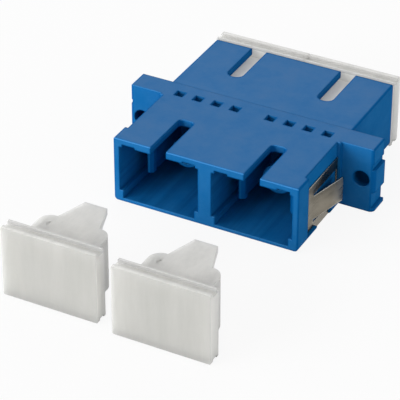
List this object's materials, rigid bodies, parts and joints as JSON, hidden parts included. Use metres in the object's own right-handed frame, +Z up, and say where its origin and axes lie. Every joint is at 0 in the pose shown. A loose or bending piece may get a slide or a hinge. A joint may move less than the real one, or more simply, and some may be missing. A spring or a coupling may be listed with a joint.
{
  "type": "sc duplex fibre adapter",
  "caption": "Duplex fibre-optic coupler: flanged blue housing with two keyed plug ports each side, a spring-steel panel clip, split alignment sleeves and push-in dust caps.",
  "frame": {"origin": "middle of the two screw holes on the flange's front face, at mid height", "axes": "+Y along the ports from the flange into the rear half, +X to the right along the flange, +Z up, towards the key slots"},
  "size_m": [0.0342, 0.0538, 0.0096],
  "materials": {
    "blue_moulding": "satin injection-moulded PBT, plain blue",
    "blue_insert": "satin injection-moulded PBT, plain blue",
    "zirconia": "ground and polished white ceramic",
    "spring_steel": "bright rolled stainless spring strip",
    "cap_plastic": "soft milky translucent polyethylene"
  },
  "bodies": {
    "adapter": {"front_housing": "blue_moulding", "rear_housing": "blue_moulding", "left_front_holder": "blue_insert", "right_front_holder": "blue_insert", "left_rear_holder": "blue_insert", "right_rear_holder": "blue_insert", "left_split_sleeve": "zirconia", "right_split_sleeve": "zirconia", "panel_clip": "spring_steel"},
    "left_rear_cap": {"left_rear_cap": "cap_plastic"},
    "right_rear_cap": {"right_rear_cap": "cap_plastic"},
    "left_front_cap": {"left_front_cap": "cap_plastic"},
    "right_front_cap": {"right_front_cap": "cap_plastic"}
  },
  "joints": [
    {"name": "left_front_cap_slide", "type": "slide", "parent": "adapter", "child": "left_front_cap", "axis": [0.0679, 0.9976, -0.0092], "range_m": [0, 0.02165]},
    {"name": "right_front_cap_slide", "type": "slide", "parent": "adapter", "child": "right_front_cap", "axis": [-0.0392, 0.9992, -0.0089], "range_m": [0, 0.02243]},
    {"name": "left_rear_cap_slide", "type": "slide", "parent": "adapter", "child": "left_rear_cap", "axis": [0, 1, 0], "range_m": [0, 0.022]},
    {"name": "right_rear_cap_slide", "type": "slide", "parent": "adapter", "child": "right_rear_cap", "axis": [0, 1, 0], "range_m": [0, 0.022]}
  ]
}
